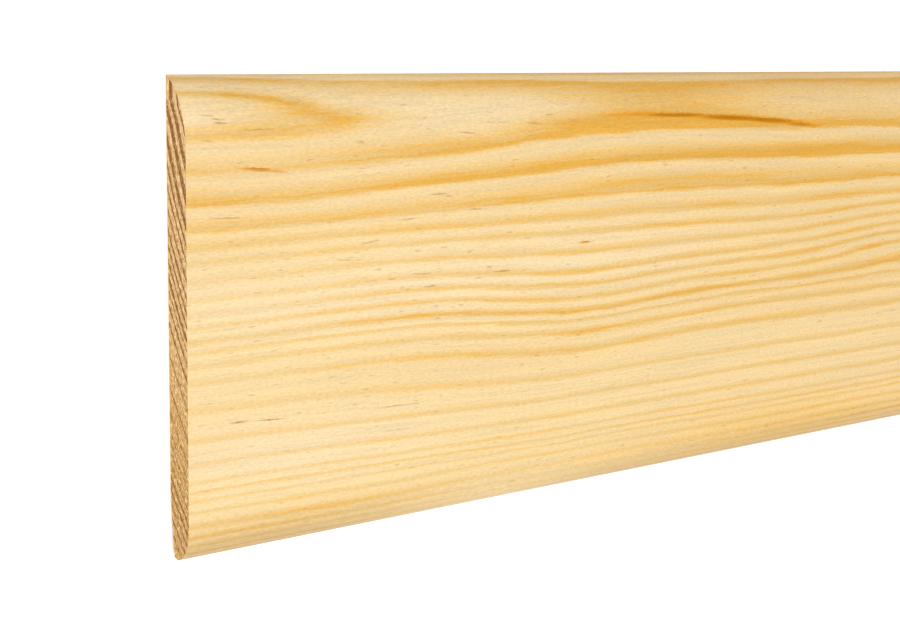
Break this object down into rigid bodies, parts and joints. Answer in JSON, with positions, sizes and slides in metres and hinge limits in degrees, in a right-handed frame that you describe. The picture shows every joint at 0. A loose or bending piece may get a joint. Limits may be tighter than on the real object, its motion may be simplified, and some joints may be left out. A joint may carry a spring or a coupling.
{
  "type": "trim strip",
  "caption": "Length of planed pine skirting: a flat face, a rounded top edge, a small round at the foot and a shallow bevel behind it, sawn square at both ends.",
  "frame": {"origin": "middle of the flat back, on the surface that the strip lies on", "axes": "+X along the length, +Y towards the rounded top edge, +Z out of the face that shows in a room"},
  "size_m": [2.4, 0.1, 0.01],
  "materials": {
    "pine": "planed, untreated"
  },
  "bodies": {
    "root": {"trim_strip": "pine"}
  },
  "joints": []
}
